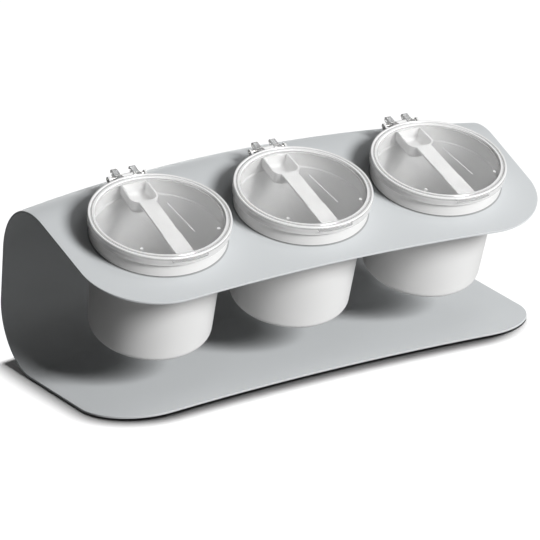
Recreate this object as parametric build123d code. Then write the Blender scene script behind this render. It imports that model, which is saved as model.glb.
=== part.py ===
from build123d import *
import os
from math import atan2, cos, degrees, radians, sin, sqrt, tan

# Three lidded seasoning cups hang in a stand bent from one sheet, on a soft pad.
# Millimetres. +X runs along the row, +Y to the back, +Z up. The origin is on the table,
# straight below the point where the middle cup's axis meets the sloping plate.

# Row of cups
cup_names = ["left", "middle", "right"]
lid_gap = 10.5  # free space between neighbouring lids
end_margin = 64.3  # from an outer cup's axis to the end of the plate
plate_tilt = 21.0  # slope of the top plate, in degrees, rising to the back
base_gap = 22.2  # from the base plate's top face to the lowest corner of the cups

# Cup, measured along its axis from the top face of the plate
cup_body_r = 43.6  # outside radius where the body enters the plate
cup_foot_r = 41.0  # outside radius at the bottom
cup_depth = 72.7  # part below the plate
collar_height = 12.9  # part above the plate
cup_wall = 1.7
cup_floor = 2.0
foot_round = 4.0
inner_foot_round = 2.6
rim_round = 0.5
hole_clearance = 0.35  # between cup body and plate, all round
seat_width = 1.0  # how far the collar rests on the plate
collar_undercut = 0.5

# Stand
sheet = 1.5
end_splay = 4.2  # each end opens towards the back, in degrees
top_front_margin = 17.4  # plate ahead of the collar, at the middle of the row
top_front_curve_r = 1250.0  # plan radius of the hollow front edge
base_front_reach = 32.1  # base plate ahead of the origin, at the middle of the row
base_front_curve_r = 1050.0
bend_margin = 3.4  # flat plate behind an outer collar, before the bend starts
back_curve_r = 710.0  # plan radius of the bulging back
back_lean = 17.9  # the back leans forward by this many degrees
top_bend_r = 50.0
base_bend_r = 37.0
top_corner_r = 50.0
base_corner_r = 43.0
corner_overrun = 0.05  # the corner cuts run this far past the ends
sheet_edge_round = 0.35

# Soft pad stuck under the base
pad_thick = 1.5
pad_inset = 7.0  # inside the base plate's front edge and ends
pad_back_reach = 82.0  # behind the origin, at the middle of the row
pad_edge_round = 0.5

# Lid
lid_clearance = 0.4  # between skirt and collar
lid_rest_gap = 0.25  # between lid and the collar's rim
skirt_wall = 1.2
skirt_depth = 3.0  # skirt below the window's underside
window_thick = 1.2
ring_height = 1.7  # ring above the window
ring_width = 4.2
ring_slope = 0.9
bead_width = 1.3  # each of the two beads on the ring
channel_depth = 0.5
skirt_gap_side = 0.9  # opening in the skirt beyond each outer lug
lip_half_angle = 15.0  # finger lip at the front, in degrees
lip_reach = 1.6
lip_thick = 1.8
lip_drop = 0.5  # below the ring's top
rib_start = (11.4, 13.0)
rib_end = (15.0, -20.5)
rib_width = 0.7
rib_depth = 0.35
pip_places = [(-24.6, -26.6), (31.2, -22.6)]
pip_r = 1.1
pip_depth = 0.35

# Hinge at the back of each cup
pin_r = 1.0
pin_running = 0.06  # the lid's arms turn on the pin
pin_overhang = 0.5  # pin beyond each outer lug
hinge_reach = 7.3  # pin axis behind the collar
hinge_drop = 1.6  # pin axis below the rim
arm_spacing = 13.1
arm_width = 3.9
arm_wall = 1.5  # arm around its bore
tail_reach = 7.8  # arm beyond the pin axis
tail_rise = 0.7  # middle of the tail above the pin axis
tail_thick = 4.0
lug_gap = 0.3  # between the lid's arms and the lug that stands between them
lug_spacing = 26.0  # outer lugs
lug_width = 1.4
lug_wall = 1.0
lug_foot = 3.0  # lug's lower edge above the plate, at the collar
lug_shoulder = 2.0  # lug's upper edge below the rim, at the collar

# Spoon, lying across the cup's mouth
spoon_gap = 0.35  # below the lid's window
handle_thick = 1.6
handle_width = 11.2
grip_width = 12.0
grip_length = 26.0  # wider part at the front
bowl_width = 19.8
bowl_back_width = 18.6
bowl_length = 22.5
bowl_depth = 10.0
bowl_wall = 1.2
bowl_corner_r = 6.5
bowl_floor_r = 4.0
bowl_back_gap = 1.4  # bowl's back wall ahead of the collar's bore
tab_width = 8.0
notch_clearance = 0.25
grip_end_inset = 0.6  # handle's end inside the collar's outer face

# Sizes that follow
cup_count = len(cup_names)
slope = radians(plate_tilt)
lean = radians(back_lean)
hole_r = cup_body_r + hole_clearance
collar_r = hole_r + seat_width
bore_r = collar_r - cup_wall
skirt_inner_r = collar_r + lid_clearance
lid_r = skirt_inner_r + skirt_wall
window_under = collar_height + lid_rest_gap
window_top = window_under + window_thick
ring_top = window_top + ring_height
skirt_under = window_under - skirt_depth
cup_pitch = 2 * lid_r + lid_gap
row_half = (cup_count - 1) / 2 * cup_pitch
base_top = pad_thick + sheet
row_height = base_top + base_gap + cup_depth * cos(slope) + cup_foot_r * sin(slope)
width_at_row = 2 * (row_half + end_margin)
hinge_y = collar_r + hinge_reach
hinge_z = collar_height - hinge_drop
arm_r = pin_r + arm_wall
lug_r = pin_r + lug_wall
middle_lug_width = arm_spacing - arm_width - 2 * lug_gap
skirt_gap = lug_spacing + lug_width + 2 * skirt_gap_side
pin_length = lug_spacing + lug_width + 2 * pin_overhang
spoon_top = window_under - spoon_gap
spoon_under = spoon_top - handle_thick
bowl_back = bore_r - bowl_back_gap
far = 4 * (row_half + end_margin)  # larger than the object, for cutting blocks
sheet_overlap = 20.0  # cutting blocks run this far past the sheet

plate_plane = Plane(origin=(0, 0, row_height), x_dir=(1, 0, 0), z_dir=(0, -sin(slope), cos(slope)))


def cup_place(index):
    return plate_plane.location * Pos(index * cup_pitch - row_half, 0, 0)


# Solid turned about the cup's axis from its outline of (radius, height) points
def turned(points):
    return revolve(Plane.XZ * make_face(Polyline(*points, close=True)), axis=Axis.Z)


def round_edges_at(part, radius, height):
    near = 0.01
    rounds = part.edges().filter_by(GeomType.CIRCLE)
    return [e for e in rounds if abs(e.radius - radius) < near and abs(e.arc_center.Z - height) < near]


# Centre of the bulging back's curve where the back, without its bends, would meet the table
def back_centre():
    turn = radians(90) + slope - lean
    corner = collar_r + bend_margin + top_bend_r * tan(turn / 2)
    y = corner * cos(slope)
    z = row_height + corner * sin(slope)
    return y + z * tan(lean) - sqrt(back_curve_r**2 - row_half**2)


# Block whose top, back and underside are the sheet's outer faces, moved in by inset
def bent_block(inset, overlap):
    half = width_at_row / 2 + sheet_overlap + overlap
    ahead = base_front_reach + top_front_margin + collar_r + overlap
    plan = Pos(0, back_centre()) * Circle(back_curve_r - inset / cos(lean))
    plan &= Pos(0, far / 2 - ahead) * Rectangle(2 * half, far)
    block = extrude(plan, amount=far, dir=(0, -sin(lean), cos(lean)))
    block &= plate_plane.location * Pos(0, 0, -inset - far / 2) * Box(far, far, far)
    base = pad_thick + inset
    block &= Pos(0, 0, base + far / 2) * Box(far, far, far)
    block = fillet(block.edges().sort_by(Axis.Z)[-1], top_bend_r - inset)
    base_edges = block.edges().filter_by_position(Axis.Z, base - 0.01, base + 0.01)
    return fillet(base_edges.sort_by(Axis.Y)[-1], base_bend_r - inset)


# Flat front end of the sheet, with its hollow edge and two round corners, moved in by inset
def front_outline(reach, curve_r, corner_r, side_slope, back, inset):
    front = reach + 2 * corner_r
    near = width_at_row / 2 - inset - front * side_slope
    away = width_at_row / 2 - inset + back * side_slope
    outline = make_face(Polyline((-near, -front), (near, -front), (away, back), (-away, back), close=True))
    outline -= Pos(0, -reach - curve_r) * Circle(curve_r + inset)
    return fillet(outline.vertices().sort_by(Axis.Y)[:2], corner_r - inset)


# What a front end of the sheet loses to its edge and corners
def front_trim(reach, curve_r, corner_r, side_slope):
    back = corner_r / 2
    outline = front_outline(reach, curve_r, corner_r, side_slope, back, -corner_overrun)
    depth = 2 * (reach + 2 * corner_r)
    trim = Pos(0, back - depth / 2) * Rectangle(far, depth) - outline
    return extrude(trim, 4 * sheet, both=True)


def make_stand():
    stand = bent_block(0, 0) - bent_block(sheet, sheet_overlap)
    # ends
    end_slope = tan(radians(end_splay))
    near_half = width_at_row / 2 - far / 2 * end_slope
    far_half = width_at_row / 2 + far / 2 * end_slope
    plan = make_face(Polyline((-near_half, -far / 2), (near_half, -far / 2), (far_half, far / 2),
                              (-far_half, far / 2), close=True))
    stand &= extrude(plan, far)
    # front edges
    top_reach = collar_r + top_front_margin
    top_trim = front_trim(top_reach, top_front_curve_r, top_corner_r, end_slope * cos(slope))
    stand -= plate_plane.location * top_trim
    base_trim = front_trim(base_front_reach, base_front_curve_r, base_corner_r, end_slope)
    stand -= Pos(0, 0, pad_thick) * base_trim
    for index in range(cup_count):
        stand -= cup_place(index) * Cylinder(hole_r, 8 * sheet)
    # rounded cut edges
    cut_faces = [face for face in stand.faces() if face.area < sheet * far]
    cut_edges = [edge for face in cut_faces for edge in face.edges() if edge.length > 2 * sheet]
    return fillet(cut_edges, sheet_edge_round)


def make_pad():
    end_slope = tan(radians(end_splay))
    plan = front_outline(base_front_reach, base_front_curve_r, base_corner_r, end_slope,
                         pad_back_reach, pad_inset)
    plan &= Pos(0, back_centre()) * Circle(pad_back_reach - back_centre())
    pad = extrude(plan, pad_thick)
    return fillet(pad.edges().group_by(Axis.Z)[0], pad_edge_round)


def make_lug(x, width):
    foot_y = sqrt((bore_r + cup_wall / 2)**2 - x**2)
    side = make_face(Polyline((foot_y, lug_foot), (hinge_y, hinge_z - lug_r), (hinge_y, hinge_z + lug_r),
                              (foot_y, collar_height - lug_shoulder), close=True))
    side += Pos(hinge_y, hinge_z) * Circle(lug_r)
    side -= Pos(hinge_y, hinge_z) * Circle(pin_r)
    return Pos(x, 0, 0) * extrude(Plane.YZ * side, width / 2, both=True)


def make_cup():
    cup = turned([(0, -cup_depth), (cup_foot_r, -cup_depth), (cup_body_r, 0), (collar_r, 0),
                  (collar_r, collar_height), (0, collar_height)])
    cup = fillet(round_edges_at(cup, cup_foot_r, -cup_depth), foot_round)
    cup = chamfer(round_edges_at(cup, collar_r, 0), collar_undercut)
    ledge = cup_wall
    space = turned([(0, cup_floor - cup_depth), (cup_foot_r - cup_wall, cup_floor - cup_depth),
                    (cup_body_r - cup_wall, ledge), (bore_r, ledge), (bore_r, 2 * collar_height),
                    (0, 2 * collar_height)])
    space = fillet(round_edges_at(space, cup_foot_r - cup_wall, cup_floor - cup_depth), inner_foot_round)
    cup -= space
    cup = fillet(round_edges_at(cup, collar_r, collar_height), rim_round)
    # rim notches that carry the spoon
    on_floor = (Align.CENTER, Align.CENTER, Align.MIN)
    notch = Box(grip_width + 2 * notch_clearance, 3 * cup_wall, collar_height, align=on_floor)
    cup -= Pos(0, -bore_r, spoon_under) * notch
    notch = Box(tab_width + 2 * notch_clearance, 3 * cup_wall, collar_height, align=on_floor)
    cup -= Pos(0, bore_r, spoon_under) * notch
    cup += make_lug(0, middle_lug_width)
    for x in (-lug_spacing / 2, lug_spacing / 2):
        cup += make_lug(x, lug_width)
    return cup


def make_arm(x):
    root_y = lid_r - ring_width + bead_width
    root_top = ring_top - rim_round
    tail_y = hinge_y + tail_reach - tail_thick / 2
    tail_z = hinge_z + tail_rise
    side = make_face(Polyline((root_y, window_under), (lid_r, window_under), (hinge_y, hinge_z - arm_r),
                              (tail_y, tail_z - tail_thick / 2), (tail_y, tail_z + tail_thick / 2),
                              (hinge_y, hinge_z + arm_r), (lid_r, root_top), (root_y, root_top), close=True))
    side += Pos(hinge_y, hinge_z) * Circle(arm_r)
    side += Pos(tail_y, tail_z) * Circle(tail_thick / 2)
    side -= Pos(hinge_y, hinge_z) * Circle(pin_r + pin_running)
    return Pos(x, 0, 0) * extrude(Plane.YZ * side, arm_width / 2, both=True)


def make_lid():
    bead = lid_r - bead_width
    inner_bead = lid_r - ring_width + bead_width
    ring_inner = lid_r - ring_width
    channel = ring_top - channel_depth
    lid = turned([(0, window_under), (skirt_inner_r, window_under), (skirt_inner_r, skirt_under),
                  (lid_r, skirt_under), (lid_r, ring_top), (bead, ring_top), (bead - channel_depth, channel),
                  (inner_bead + channel_depth, channel), (inner_bead, ring_top), (ring_inner, ring_top),
                  (ring_inner - ring_slope, window_top), (0, window_top)])
    lid = fillet(round_edges_at(lid, lid_r, ring_top), rim_round)
    # finger lip at the front
    lip_top = ring_top - lip_drop
    lip = turned([(bead, lip_top - lip_thick), (lid_r + lip_reach, lip_top - lip_thick),
                  (lid_r + lip_reach, lip_top), (bead, lip_top)])
    spread = 2 * lid_r * tan(radians(lip_half_angle))
    front = make_face(Polyline((0, 0), (-spread, -2 * lid_r), (spread, -2 * lid_r), close=True))
    lid += lip & extrude(front, ring_top)
    # opening in the skirt for the hinge
    lid -= Box(skirt_gap, lid_r, window_under, align=(Align.CENTER, Align.MIN, Align.MIN))
    run = (rib_end[0] - rib_start[0], rib_end[1] - rib_start[1])
    middle = ((rib_end[0] + rib_start[0]) / 2, (rib_end[1] + rib_start[1]) / 2)
    hang_down = (Align.CENTER, Align.CENTER, Align.MAX)
    rib = Box(sqrt(run[0]**2 + run[1]**2), rib_width, rib_depth, align=hang_down)
    lid += Pos(middle[0], middle[1], window_under) * Rot(0, 0, degrees(atan2(run[1], run[0]))) * rib
    for x, y in pip_places:
        lid += Pos(x, y, window_under) * Cylinder(pip_r, pip_depth, align=hang_down)
    for x in (-arm_spacing / 2, arm_spacing / 2):
        lid += make_arm(x)
    return lid


def make_spoon():
    bowl_front = bowl_back - bowl_length
    grip_end = -(collar_r - grip_end_inset)
    outline = Polyline((-bowl_back_width / 2, bowl_back), (-bowl_width / 2, bowl_front + bowl_corner_r),
                       (-bowl_width / 2, bowl_front), (bowl_width / 2, bowl_front),
                       (bowl_width / 2, bowl_front + bowl_corner_r), (bowl_back_width / 2, bowl_back), close=True)
    shape = make_face(outline)
    front_corners = shape.vertices().sort_by(Axis.Y)[:2]
    shape = fillet(front_corners, bowl_corner_r)
    bowl = Pos(0, 0, spoon_top - bowl_depth) * extrude(shape, bowl_depth)
    low_edges = bowl.edges().group_by(Axis.Z)[0]
    bowl = fillet(low_edges, bowl_floor_r)
    hollow = Pos(0, 0, spoon_top - bowl_depth + bowl_wall) * extrude(offset(shape, -bowl_wall), bowl_depth)
    low_edges = hollow.edges().group_by(Axis.Z)[0]
    hollow = fillet(low_edges, bowl_floor_r - bowl_wall)
    lie_flat = (Align.CENTER, Align.MIN, Align.MIN)
    handle_length = bowl_front + bowl_corner_r - grip_end
    handle = Box(handle_width, handle_length, handle_thick, align=lie_flat)
    handle += Box(grip_width, grip_length, handle_thick, align=lie_flat)
    tab_start = bowl_back - bowl_wall
    tab = Box(tab_width, collar_r - rim_round - tab_start, handle_thick, align=lie_flat)
    return bowl + Pos(0, grip_end, spoon_under) * handle + Pos(0, tab_start, spoon_under) * tab - hollow


def make_pin():
    return Pos(0, hinge_y, hinge_z) * Rot(0, 90, 0) * Cylinder(pin_r, pin_length)


os.makedirs("parts", exist_ok=True)
export_step(make_stand(), "parts/stand.step")
export_step(make_pad(), "parts/base_pad.step")
for index, name in enumerate(cup_names):
    export_step(cup_place(index) * make_cup(), f"parts/cup_{name}.step")
    export_step(cup_place(index) * make_lid(), f"parts/lid_{name}.step")
    export_step(cup_place(index) * make_spoon(), f"parts/spoon_{name}.step")
    export_step(cup_place(index) * make_pin(), f"parts/hinge_pin_{name}.step")
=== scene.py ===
import bpy
from math import cos, radians, sin
from mathutils import Matrix, Vector

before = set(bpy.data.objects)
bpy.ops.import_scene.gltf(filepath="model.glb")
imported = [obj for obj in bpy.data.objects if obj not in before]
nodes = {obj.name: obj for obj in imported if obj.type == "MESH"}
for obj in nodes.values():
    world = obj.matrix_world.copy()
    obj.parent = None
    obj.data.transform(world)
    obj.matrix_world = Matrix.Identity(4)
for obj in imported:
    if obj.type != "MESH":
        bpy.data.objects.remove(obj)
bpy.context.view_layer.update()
sides = ["left", "middle", "right"]
row = {
    "height": 0.107764,  # top face of the plate at the middle cup's axis
    "pitch": 0.1036,  # from one cup to the next
    "slope": 21.0,  # of the plate, in degrees
}
print("packed model loaded, nodes:", len(nodes))


# Helpers for materials

def setInputs(node, values):
    for key, value in values.items():
        node.inputs[key].default_value = value


def newMaterial(name, **sockets):
    material = bpy.data.materials.new(name)
    material.use_nodes = True
    tree = material.node_tree
    shader = tree.nodes["Principled BSDF"]
    setInputs(shader, sockets)
    return material, tree, shader


def addNode(tree, kind, place, **values):
    node = tree.nodes.new(kind)
    node.location = place
    for key, value in values.items():
        setattr(node, key, value)
    return node


def addNoise(tree, place, **values):
    node = addNode(tree, "ShaderNodeTexNoise", place)
    setInputs(node, values)
    return node


def addRange(tree, place, fromEnds, toEnds=(0.0, 1.0), **values):
    node = addNode(tree, "ShaderNodeMapRange", place, **values)
    for bound, fromEnd, toEnd in zip(("Min", "Max"), fromEnds, toEnds):
        node.inputs["From " + bound].default_value = fromEnd
        node.inputs["To " + bound].default_value = toEnd
    return node


def newGroup(name, inputs, outputs):
    group = bpy.data.node_groups.new(name, "ShaderNodeTree")
    for label, kind, value in inputs:
        socket = group.interface.new_socket(name=label, in_out="INPUT", socket_type=kind)
        if value is not None:
            socket.default_value = value
    for label, kind in outputs:
        group.interface.new_socket(name=label, in_out="OUTPUT", socket_type=kind)
    start = addNode(group, "NodeGroupInput", (-900, 0))
    end = addNode(group, "NodeGroupOutput", (700, 0))
    return group, start, end


def placeGroup(tree, group, place, **values):
    node = addNode(tree, "ShaderNodeGroup", place, node_tree=group)
    setInputs(node, values)
    return node


# Fine moulded or sprayed grain, as a height
def makeGrain():
    group, start, end = newGroup(
        "fineGrain",
        [("Vector", "NodeSocketVector", None), ("Grain Size", "NodeSocketFloat", 900.0),
         ("Wave Size", "NodeSocketFloat", 60.0), ("Wave Share", "NodeSocketFloat", 0.5)],
        [("Height", "NodeSocketFloat")])
    grain = addNoise(group, (-550, 150), Detail=3.0)
    wave = addNoise(group, (-550, -150), Detail=1.0)
    mix = addNode(group, "ShaderNodeMix", (-100, 0), data_type="FLOAT")
    group.links.new(start.outputs["Vector"], grain.inputs["Vector"])
    group.links.new(start.outputs["Grain Size"], grain.inputs["Scale"])
    group.links.new(start.outputs["Vector"], wave.inputs["Vector"])
    group.links.new(start.outputs["Wave Size"], wave.inputs["Scale"])
    group.links.new(start.outputs["Wave Share"], mix.inputs[0])
    group.links.new(grain.outputs["Fac"], mix.inputs[2])
    group.links.new(wave.outputs["Fac"], mix.inputs[3])
    group.links.new(mix.outputs[0], end.inputs["Height"])
    return group


# Slow drift between two colours and two roughnesses, with faint rubbed marks
def makeDrift():
    group, start, end = newGroup(
        "surfaceDrift",
        [("Vector", "NodeSocketVector", None), ("Color A", "NodeSocketColor", (1, 1, 1, 1)),
         ("Color B", "NodeSocketColor", (1, 1, 1, 1)), ("Rough A", "NodeSocketFloat", 0.4),
         ("Rough B", "NodeSocketFloat", 0.5), ("Patch Size", "NodeSocketFloat", 12.0),
         ("Marks", "NodeSocketFloat", 0.05)],
        [("Color", "NodeSocketColor"), ("Roughness", "NodeSocketFloat")])
    patch = addNoise(group, (-600, 200), Detail=4.0)
    colors = addNode(group, "ShaderNodeMix", (100, 250), data_type="RGBA")
    rough = addRange(group, (-100, -50), (0.3, 0.7))  # where most of the noise lies
    marks = addNoise(group, (-600, -200), Scale=35.0, Detail=8.0, Roughness=0.75, Distortion=1.2)
    centre = addNode(group, "ShaderNodeMath", (-350, -200), operation="SUBTRACT")
    centre.inputs[1].default_value = 0.5  # the noise's middle
    share = addNode(group, "ShaderNodeMath", (-150, -250), operation="MULTIPLY")
    total = addNode(group, "ShaderNodeMath", (300, -100), operation="ADD")
    group.links.new(start.outputs["Vector"], patch.inputs["Vector"])
    group.links.new(start.outputs["Patch Size"], patch.inputs["Scale"])
    group.links.new(patch.outputs["Fac"], colors.inputs[0])
    group.links.new(start.outputs["Color A"], colors.inputs[6])
    group.links.new(start.outputs["Color B"], colors.inputs[7])
    group.links.new(patch.outputs["Fac"], rough.inputs["Value"])
    group.links.new(start.outputs["Rough A"], rough.inputs["To Min"])
    group.links.new(start.outputs["Rough B"], rough.inputs["To Max"])
    group.links.new(start.outputs["Vector"], marks.inputs["Vector"])
    group.links.new(marks.outputs["Fac"], centre.inputs[0])
    group.links.new(centre.outputs[0], share.inputs[0])
    group.links.new(start.outputs["Marks"], share.inputs[1])
    group.links.new(rough.outputs["Result"], total.inputs[0])
    group.links.new(share.outputs[0], total.inputs[1])
    group.links.new(colors.outputs[2], end.inputs["Color"])
    group.links.new(total.outputs[0], end.inputs["Roughness"])
    return group


# Place in a cup's own frame: the three cups stand on one slope, a fixed step apart
def makeCupFrame():
    group, start, end = newGroup(
        "cupFrame",
        [("Vector", "NodeSocketVector", None)],
        [("Place", "NodeSocketVector"), ("Radius", "NodeSocketFloat"),
         ("Height", "NodeSocketFloat")])
    down = addNode(group, "ShaderNodeMapping", (-700, 0), vector_type="POINT")
    down.inputs["Location"].default_value = (0, 0, -row["height"])
    split = addNode(group, "ShaderNodeSeparateXYZ", (-500, 0))
    # the nearest of the three cups
    shift = addNode(group, "ShaderNodeMath", (-700, 300), operation="ADD")
    shift.inputs[1].default_value = row["pitch"] / 2
    nearest = addNode(group, "ShaderNodeMath", (-550, 300), operation="SNAP")
    nearest.inputs[1].default_value = row["pitch"]
    last = addNode(group, "ShaderNodeClamp", (-400, 300))
    last.inputs["Min"].default_value = -row["pitch"]
    last.inputs["Max"].default_value = row["pitch"]
    fold = addNode(group, "ShaderNodeMath", (-250, 150), operation="SUBTRACT")
    join = addNode(group, "ShaderNodeCombineXYZ", (-100, 0))
    level = addNode(group, "ShaderNodeMapping", (100, 0), vector_type="POINT")
    level.inputs["Rotation"].default_value = (-radians(row["slope"]), 0, 0)
    parts = addNode(group, "ShaderNodeSeparateXYZ", (300, -150))
    flat = addNode(group, "ShaderNodeCombineXYZ", (450, -150))
    reach = addNode(group, "ShaderNodeVectorMath", (600, -150), operation="LENGTH")
    group.links.new(start.outputs["Vector"], down.inputs["Vector"])
    group.links.new(down.outputs["Vector"], split.inputs["Vector"])
    group.links.new(split.outputs["X"], shift.inputs[0])
    group.links.new(shift.outputs[0], nearest.inputs[0])
    group.links.new(nearest.outputs[0], last.inputs["Value"])
    group.links.new(split.outputs["X"], fold.inputs[0])
    group.links.new(last.outputs["Result"], fold.inputs[1])
    group.links.new(fold.outputs[0], join.inputs["X"])
    group.links.new(split.outputs["Y"], join.inputs["Y"])
    group.links.new(split.outputs["Z"], join.inputs["Z"])
    group.links.new(join.outputs["Vector"], level.inputs["Vector"])
    group.links.new(level.outputs["Vector"], parts.inputs["Vector"])
    group.links.new(parts.outputs["X"], flat.inputs["X"])
    group.links.new(parts.outputs["Y"], flat.inputs["Y"])
    group.links.new(flat.outputs["Vector"], reach.inputs[0])
    group.links.new(level.outputs["Vector"], end.inputs["Place"])
    group.links.new(reach.outputs["Value"], end.inputs["Radius"])
    group.links.new(parts.outputs["Z"], end.inputs["Height"])
    return group


# Painted shade: a dark ring where each collar meets the plate
seamShade = {
    "height": 0.0,  # of the plate's top face, from which each cup's height counts
    "radius": 0.0450,  # of the collar
    "reach": 0.0010,
    "color": (0.02, 0.02, 0.02, 1),
}


# Painted shade in the seam where a collar stands on the plate, as a colour that darkens a finish
def makeSeamShade():
    group, start, end = newGroup(
        "collarShade",
        [("Vector", "NodeSocketVector", None), ("Depth", "NodeSocketFloat", 1.0)],
        [("Keep", "NodeSocketColor")])
    place = placeGroup(group, cupFrame, (-650, 0))
    group.links.new(start.outputs["Vector"], place.inputs["Vector"])
    level = start.outputs["Depth"]
    for step, (source, centre) in enumerate([("Height", seamShade["height"]), ("Radius", seamShade["radius"])]):
        away = addNode(group, "ShaderNodeMath", (-450, -150 * step), operation="SUBTRACT")
        away.inputs[1].default_value = centre
        group.links.new(place.outputs[source], away.inputs[0])
        size = addNode(group, "ShaderNodeMath", (-300, -150 * step), operation="ABSOLUTE")
        group.links.new(away.outputs[0], size.inputs[0])
        near = addRange(
            group, (-150, -150 * step), (seamShade["reach"], seamShade["reach"] / 2),
            interpolation_type="SMOOTHSTEP")
        group.links.new(size.outputs[0], near.inputs["Value"])
        both = addNode(group, "ShaderNodeMath", (50 + 150 * step, 0), operation="MULTIPLY")
        group.links.new(near.outputs["Result"], both.inputs[0])
        group.links.new(level, both.inputs[1])
        level = both.outputs[0]
    keep = addNode(group, "ShaderNodeMix", (450, 0), data_type="RGBA")
    keep.inputs[6].default_value = (1, 1, 1, 1)
    keep.inputs[7].default_value = seamShade["color"]
    group.links.new(level, keep.inputs[0])
    group.links.new(keep.outputs[2], end.inputs["Keep"])
    return group


fineGrain = makeGrain()
surfaceDrift = makeDrift()
cupFrame = makeCupFrame()
collarShade = makeSeamShade()


def addBump(tree, place, grain, look):
    bump = addNode(tree, "ShaderNodeBump", place)
    setInputs(bump, {"Strength": look["bump"], "Distance": look["bumpHeight"]})
    tree.links.new(grain.outputs["Height"], bump.inputs["Height"])
    return bump


# Colour, roughness, grain and painted seam shade of a surface
def finishSurface(tree, shader, look):
    where = addNode(tree, "ShaderNodeTexCoord", (-1200, 0))
    driftNode = placeGroup(tree, surfaceDrift, (-700, 150), **look["drift"])
    grainNode = placeGroup(tree, fineGrain, (-700, -250), **look["grain"])
    bump = addBump(tree, (-350, -250), grainNode, look)
    tree.links.new(where.outputs["Object"], driftNode.inputs["Vector"])
    tree.links.new(where.outputs["Object"], grainNode.inputs["Vector"])
    color = driftNode.outputs["Color"]
    # darken the colour with painted shade in the collar seam
    if "seamShade" in look:
        seamShadeNode = placeGroup(tree, collarShade, (-700, 400), Depth=look["seamShade"])
        tree.links.new(where.outputs["Object"], seamShadeNode.inputs["Vector"])
        darker = addNode(tree, "ShaderNodeMix", (-400, 300), data_type="RGBA", blend_type="MULTIPLY")
        darker.inputs[0].default_value = 1.0
        tree.links.new(color, darker.inputs[6])
        tree.links.new(seamShadeNode.outputs["Keep"], darker.inputs[7])
        color = darker.outputs[2]
    tree.links.new(color, shader.inputs["Base Color"])
    tree.links.new(driftNode.outputs["Roughness"], shader.inputs["Roughness"])
    tree.links.new(bump.outputs["Normal"], shader.inputs["Normal"])


# Bounced light meets a darker surface than the camera does, which keeps the shadows deep
def dimBounces(tree, shader, level, alsoMirrored=False):
    path = addNode(tree, "ShaderNodeLightPath", (-300, 500))
    dimmed = addNode(tree, "ShaderNodeMath", (-100, 500), operation="MAXIMUM")
    dimmed.inputs[1].default_value = 0.0
    tree.links.new(path.outputs["Is Diffuse Ray"], dimmed.inputs[0])
    if alsoMirrored:
        tree.links.new(path.outputs["Is Glossy Ray"], dimmed.inputs[1])
    dim = addNode(tree, "ShaderNodeBsdfDiffuse", (150, -250))
    dim.inputs["Color"].default_value = (level, level, level, 1)
    mix = addNode(tree, "ShaderNodeMixShader", (450, 100))
    tree.links.new(dimmed.outputs[0], mix.inputs["Fac"])
    tree.links.new(shader.outputs["BSDF"], mix.inputs[1])
    tree.links.new(dim.outputs["BSDF"], mix.inputs[2])
    tree.links.new(mix.outputs["Shader"], tree.nodes["Material Output"].inputs["Surface"])
    return dim


def makeFinish(name, look):
    material, tree, shader = newMaterial(name, **look["sockets"])
    finishSurface(tree, shader, look)
    if "bounce" in look:
        dimBounces(tree, shader, look["bounce"])
    return material


# Stand: grey baked coat on sheet
standLook = {
    "sockets": {
        "IOR": 1.48,
        "Sheen Weight": 0.86,
        "Sheen Roughness": 0.85,
        "Sheen Tint": (0.95, 0.985, 1.0, 1),
    },
    "drift": {
        "Color A": (0.500, 0.516, 0.526, 1), "Color B": (0.521, 0.536, 0.546, 1),
        "Rough A": 0.42, "Rough B": 0.50, "Patch Size": 9.0, "Marks": 0.06,
    },
    "grain": {"Grain Size": 1400.0, "Wave Size": 180.0, "Wave Share": 0.55},
    "bump": 0.35,
    "bumpHeight": 0.00004,
    # strength of the painted seam shade
    "seamShade": 0.75,
    "bounce": 0.52,
}

sheetCoat = makeFinish("sheetCoat", standLook)


# Cups: white satin plastic
cupLook = {
    "sockets": {"IOR": 1.49},
    "drift": {
        "Color A": (0.84, 0.84, 0.835, 1), "Color B": (0.87, 0.87, 0.865, 1),
        "Rough A": 0.36, "Rough B": 0.44, "Patch Size": 14.0, "Marks": 0.05,
    },
    "grain": {"Grain Size": 1800.0, "Wave Size": 90.0, "Wave Share": 0.6},
    "bump": 0.15,
    "bumpHeight": 0.00003,
    # strength of the painted seam shade
    "seamShade": 0.75,
    "bounce": 0.5,
}

cupPlastic = makeFinish("cupPlastic", cupLook)


# Spoons: glossier white plastic
spoonLook = {
    "sockets": {"IOR": 1.49},
    "drift": {
        "Color A": (0.87, 0.868, 0.866, 1), "Color B": (0.89, 0.888, 0.886, 1),
        "Rough A": 0.20, "Rough B": 0.27, "Patch Size": 22.0, "Marks": 0.05,
    },
    "grain": {"Grain Size": 1500.0, "Wave Size": 70.0, "Wave Share": 0.8},
    "bump": 0.12,
    "bumpHeight": 0.00003,
}

spoonPlastic = makeFinish("spoonPlastic", spoonLook)


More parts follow.
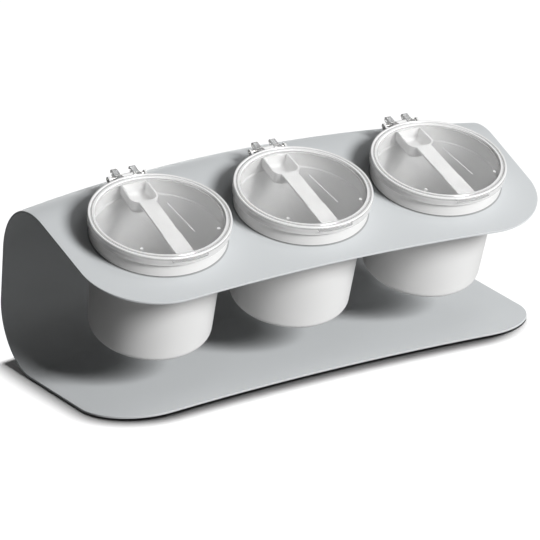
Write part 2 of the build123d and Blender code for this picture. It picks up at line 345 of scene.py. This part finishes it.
# Lids: clear moulded plastic, milky where it is thick
lidLook = {
    "sockets": {"IOR": 1.46, "Transmission Weight": 0.88},
    "window": {
        "Color A": (0.80, 0.80, 0.80, 1), "Color B": (0.80, 0.80, 0.80, 1),
        "Rough A": 0.06, "Rough B": 0.10, "Patch Size": 30.0, "Marks": 0.03,
    },
    "thick": {
        "Color A": (0.90, 0.90, 0.898, 1), "Color B": (0.94, 0.94, 0.938, 1),
        "Rough A": 0.16, "Rough B": 0.24, "Patch Size": 40.0, "Marks": 0.04,
    },
    "grain": {"Grain Size": 900.0, "Wave Size": 55.0, "Wave Share": 0.8},
    "bump": 0.1,
    "bumpHeight": 0.00003,
    "windowEdge": 0.0415,  # radius
    "outerEdge": 0.0468,  # radius
    "ringHeight": 0.0152,
    "underside": 0.01305,
    "ringMilk": [  # from the window's edge to the outer edge: two beads and the channel between them
        (0.0, 0.55), (0.06, 0.9), (0.36, 1.0), (0.45, 0.30), (0.57, 0.25), (0.68, 1.0), (1.0, 1.0)],
    "skirtMilk": [(0.0137, 0.60), (0.0151, 0.22)],  # by height
    "ribMilk": 0.8,
    "armMilk": 0.12,
    "windowShadow": (0.60, 0.60, 0.60, 1),
    "milkShadow": (0.04, 0.04, 0.04, 1),
}


# How milky the lid is: 0 on the window, most on the two beads of its ring
def makeLidMilk():
    group, start, end = newGroup(
        "lidMilk",
        [("Radius", "NodeSocketFloat", 0.0), ("Height", "NodeSocketFloat", 0.0)],
        [("Milk", "NodeSocketFloat")])
    across = addRange(group, (-600, 200), (lidLook["windowEdge"], lidLook["outerEdge"]))
    group.links.new(start.outputs["Radius"], across.inputs["Value"])
    ring = addNode(group, "ShaderNodeValToRGB", (-400, 200))
    marks = ring.color_ramp.elements
    while len(marks) > 1:
        marks.remove(marks[-1])
    for index, (place, level) in enumerate(lidLook["ringMilk"]):
        mark = marks[0] if index == 0 else marks.new(place)
        mark.position = place
        mark.color = (level, level, level, 1)
    group.links.new(across.outputs["Result"], ring.inputs["Fac"])
    skirt = addRange(group, (-400, -150), *zip(*lidLook["skirtMilk"]))
    group.links.new(start.outputs["Height"], skirt.inputs["Value"])
    tests = {}
    for line, (name, source, operation, edge) in enumerate([
            ("outside", "Radius", "GREATER_THAN", lidLook["windowEdge"]),
            ("beyond", "Radius", "GREATER_THAN", lidLook["outerEdge"]),
            ("above", "Height", "GREATER_THAN", lidLook["ringHeight"]),
            ("below", "Height", "LESS_THAN", lidLook["underside"])]):
        test = addNode(group, "ShaderNodeMath", (-600, -50 - 160 * line), operation=operation)
        test.inputs[1].default_value = edge
        group.links.new(start.outputs[source], test.inputs[0])
        tests[name] = test.outputs[0]
    # rib and pips, skirt, ring, arms: each one overrules those before it
    level = None
    for step, (name, value) in enumerate([
            ("below", lidLook["ribMilk"]), ("outside", skirt.outputs["Result"]),
            ("above", ring.outputs["Color"]), ("beyond", lidLook["armMilk"])]):
        pick = addNode(group, "ShaderNodeMix", (-150 + 180 * step, 0), data_type="FLOAT")
        pick.inputs[2].default_value = 0.0
        if isinstance(value, float):
            pick.inputs[3].default_value = value
        else:
            group.links.new(value, pick.inputs[3])
        if level:
            group.links.new(level, pick.inputs[2])
        group.links.new(tests[name], pick.inputs[0])
        level = pick.outputs[0]
    group.links.new(level, end.inputs["Milk"])
    return group


lidMilk = makeLidMilk()


def makeLidPlastic():
    material, tree, shader = newMaterial("lidPlastic", **lidLook["sockets"])
    where = addNode(tree, "ShaderNodeTexCoord", (-1600, 0))
    place = placeGroup(tree, cupFrame, (-1400, 0))
    tree.links.new(where.outputs["Object"], place.inputs["Vector"])
    milk = placeGroup(tree, lidMilk, (-1100, 300))
    tree.links.new(place.outputs["Radius"], milk.inputs["Radius"])
    tree.links.new(place.outputs["Height"], milk.inputs["Height"])
    clearDrift = placeGroup(tree, surfaceDrift, (-800, 150), **lidLook["window"])
    milkDrift = placeGroup(tree, surfaceDrift, (-800, -150), **lidLook["thick"])
    grain = placeGroup(tree, fineGrain, (-800, -450), **lidLook["grain"])
    for node in (clearDrift, milkDrift, grain):
        tree.links.new(place.outputs["Place"], node.inputs["Vector"])
    bump = addBump(tree, (-450, -450), grain, lidLook)
    thick = addNode(tree, "ShaderNodeBsdfPrincipled", (0, -300))
    thick.inputs["IOR"].default_value = lidLook["sockets"]["IOR"]
    for surface, drift in ((shader, clearDrift), (thick, milkDrift)):
        tree.links.new(drift.outputs["Color"], surface.inputs["Base Color"])
        tree.links.new(drift.outputs["Roughness"], surface.inputs["Roughness"])
        tree.links.new(bump.outputs["Normal"], surface.inputs["Normal"])
    body = addNode(tree, "ShaderNodeMixShader", (350, 0))
    tree.links.new(milk.outputs["Milk"], body.inputs["Fac"])
    tree.links.new(shader.outputs["BSDF"], body.inputs[1])
    tree.links.new(thick.outputs["BSDF"], body.inputs[2])
    # lamps shine through the window, hardly through the ring
    path = addNode(tree, "ShaderNodeLightPath", (350, 400))
    shade = addNode(tree, "ShaderNodeMix", (0, -700), data_type="RGBA")
    shade.inputs[6].default_value = lidLook["windowShadow"]
    shade.inputs[7].default_value = lidLook["milkShadow"]
    tree.links.new(milk.outputs["Milk"], shade.inputs[0])
    clear = addNode(tree, "ShaderNodeBsdfTransparent", (350, -300))
    tree.links.new(shade.outputs[2], clear.inputs["Color"])
    mix = addNode(tree, "ShaderNodeMixShader", (600, 100))
    tree.links.new(path.outputs["Is Shadow Ray"], mix.inputs["Fac"])
    tree.links.new(body.outputs["Shader"], mix.inputs[1])
    tree.links.new(clear.outputs["BSDF"], mix.inputs[2])
    tree.links.new(mix.outputs["Shader"], tree.nodes["Material Output"].inputs["Surface"])
    return material


lidPlastic = makeLidPlastic()


# Pad under the base: matte foam rubber
padLook = {
    "sockets": {"IOR": 1.5},
    "drift": {
        "Color A": (0.030, 0.030, 0.032, 1), "Color B": (0.045, 0.045, 0.047, 1),
        "Rough A": 0.80, "Rough B": 0.92, "Patch Size": 40.0, "Marks": 0.08,
    },
    "grain": {"Grain Size": 1600.0, "Wave Size": 300.0, "Wave Share": 0.3},
    "bump": 0.6,
    "bumpHeight": 0.0001,
}

padRubber = makeFinish("padRubber", padLook)


# Hinge pins: drawn steel
pinLook = {
    "sockets": {"Metallic": 1.0},
    "drift": {
        "Color A": (0.56, 0.55, 0.53, 1), "Color B": (0.66, 0.65, 0.63, 1),
        "Rough A": 0.24, "Rough B": 0.34, "Patch Size": 160.0, "Marks": 0.08,
    },
    "grain": {"Grain Size": 2600.0, "Wave Size": 400.0, "Wave Share": 0.4},
    "bump": 0.2,
    "bumpHeight": 0.00002,
}

pinSteel = makeFinish("pinSteel", pinLook)
print("materials made")


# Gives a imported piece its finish
def dress(node, material):
    piece = nodes[node]
    for slot in piece.material_slots:
        slot.material = material
    if not piece.material_slots:
        piece.data.materials.append(material)


dress("stand", sheetCoat)
dress("base_pad", padRubber)
for side in sides:
    dress("cup_" + side, cupPlastic)
    dress("spoon_" + side, spoonPlastic)
    dress("lid_" + side, lidPlastic)
    dress("hinge_pin_" + side, pinSteel)
print("finishes given to the packed pieces")


# Floor: matte white paper
floorLook = {
    "size": 8.0,
    "drift": {
        "Color A": (0.93, 0.93, 0.93, 1), "Color B": (0.95, 0.95, 0.95, 1),
        "Rough A": 0.75, "Rough B": 0.8, "Patch Size": 3.0, "Marks": 0.02,
    },
    "grain": {"Grain Size": 500.0, "Wave Size": 20.0, "Wave Share": 0.3},
    "bump": 0.05,
    "bumpHeight": 0.0001,
    "bounceByX": [(-0.26, 0.05), (-0.10, 0.34)],  # it sends back less light from the left end
}

# Lamps, whose angles are right of the front and above the table in degrees, and white room
studio = {
    "aim": (0.0, 0.0, 0.06),
    "lamps": {
        "key": {"angles": (20.0, 27.0), "distance": 3.2, "size": 1.05, "power": 112.0},
        "side": {"angles": (45.0, 60.0), "distance": 2.6, "size": 0.9, "power": 6.0},
        "inner": {"angles": (-40.0, 3.0), "distance": 2.6, "size": 0.9, "power": 3.2},
        "back": {"angles": (165.0, 2.0), "distance": 2.6, "size": 1.0, "power": 14.0},
    },
    "wash": {"comesFrom": (0.06, -0.18, 1.0), "angle": 10.0, "power": 3.7},
    "room": {"seen": 1.0, "mirrored": 0.45, "fill": 0.022},
}

camera = {
    "place": (-0.66382, -1.31361, 0.54508),
    "forward": (0.415436, 0.854985, -0.310511),
    "roll": -3.70,
    "lens": 154.67,
    "sensor": 36.0,
}


def makeFloor():
    mesh = bpy.data.meshes.new("studioFloor")
    half = floorLook["size"] / 2
    corners = [(-half, -half, 0), (half, -half, 0), (half, half, 0), (-half, half, 0)]
    mesh.from_pydata(corners, [], [(0, 1, 2, 3)])
    floor = bpy.data.objects.new("studioFloor", mesh)
    bpy.context.scene.collection.objects.link(floor)
    material, tree, shader = newMaterial("floorPaper")
    finishSurface(tree, shader, floorLook)
    dim = dimBounces(tree, shader, 0.0, alsoMirrored=True)
    where = addNode(tree, "ShaderNodeTexCoord", (-600, -500))
    split = addNode(tree, "ShaderNodeSeparateXYZ", (-400, -500))
    bounce = addRange(tree, (-200, -500), *zip(*floorLook["bounceByX"]))
    tree.links.new(where.outputs["Object"], split.inputs["Vector"])
    tree.links.new(split.outputs["X"], bounce.inputs["Value"])
    tree.links.new(bounce.outputs["Result"], dim.inputs["Color"])
    mesh.materials.append(material)
    return floor


# A round soft lamp
def addAreaLight(name, angles, distance, size, power):
    turn, lift = (radians(angle) for angle in angles)
    place = Vector((sin(turn) * cos(lift), -cos(turn) * cos(lift), sin(lift))) * distance
    lamp = bpy.data.lights.new(name, "AREA")
    lamp.shape = "DISK"
    lamp.size = size
    lamp.energy = power
    light = bpy.data.objects.new(name, lamp)
    light.location = place
    light.rotation_euler = (Vector(studio["aim"]) - place).to_track_quat("-Z", "Y").to_euler()
    bpy.context.scene.collection.objects.link(light)
    return light


def addSun(name, comesFrom, angle, power):
    lamp = bpy.data.lights.new(name, "SUN")
    lamp.angle = radians(angle)
    lamp.energy = power
    light = bpy.data.objects.new(name, lamp)
    light.rotation_euler = Vector(comesFrom).to_track_quat("Z", "Y").to_euler()
    bpy.context.scene.collection.objects.link(light)
    return light


# A lamp that lights only the pieces in a list, or all but those
def limitLight(light, name, pieces, state):
    group = bpy.data.collections.new(name)
    for piece in pieces:
        group.objects.link(piece)
    light.light_linking.receiver_collection = group
    for entry in group.collection_objects:
        entry.light_linking.link_state = state


def makeCamera():
    data = bpy.data.cameras.new("photoCamera")
    data.lens = camera["lens"]
    data.sensor_width = camera["sensor"]
    view = bpy.data.objects.new("photoCamera", data)
    turn = Vector(camera["forward"]).to_track_quat("-Z", "Y").to_matrix().to_4x4()
    roll = Matrix.Rotation(radians(camera["roll"]), 4, "Z")
    view.matrix_world = Matrix.Translation(camera["place"]) @ turn @ roll
    bpy.context.scene.collection.objects.link(view)
    bpy.context.scene.camera = view


# Bright to the camera and through the lids, less in mirrored rays, dim as a fill light
def makeWorld():
    world = bpy.data.worlds.new("studioWorld")
    world.use_nodes = True
    tree = world.node_tree
    sky = tree.nodes["Background"]
    sky.inputs["Color"].default_value = (1, 1, 1, 1)
    path = addNode(tree, "ShaderNodeLightPath", (-600, 0))
    strength = None
    for step, (ray, level) in enumerate([("Is Glossy Ray", "mirrored"), ("Is Diffuse Ray", "fill")]):
        pick = addNode(tree, "ShaderNodeMix", (-350 + 170 * step, 0), data_type="FLOAT")
        pick.inputs[2].default_value = studio["room"]["seen"]
        pick.inputs[3].default_value = studio["room"][level]
        if strength:
            tree.links.new(strength, pick.inputs[2])
        tree.links.new(path.outputs[ray], pick.inputs[0])
        strength = pick.outputs[0]
    tree.links.new(strength, sky.inputs["Strength"])
    return world


def makeStudio():
    floor = makeFloor()
    # the inner lamp brightens the sheet inside its bend, and the back lamp leaves the clear lids out
    sheet = [nodes["stand"]]
    opaque = sheet + [nodes[part + side] for part in ("cup_", "spoon_", "hinge_pin_") for side in sides]
    for name, pieces, state in [("key", [floor], "EXCLUDE"), ("side", [floor], "EXCLUDE"),
                                ("inner", sheet, "INCLUDE"), ("back", opaque, "INCLUDE")]:
        light = addAreaLight(name + "Light", **studio["lamps"][name])
        limitLight(light, name + "Receivers", pieces, state)
    wash = addSun("floorWash", **studio["wash"])
    limitLight(wash, "washReceivers", [floor], "INCLUDE")
    bpy.context.scene.world = makeWorld()
    bpy.context.scene.view_settings.view_transform = "Standard"
    makeCamera()


makeStudio()
print("studio ready")
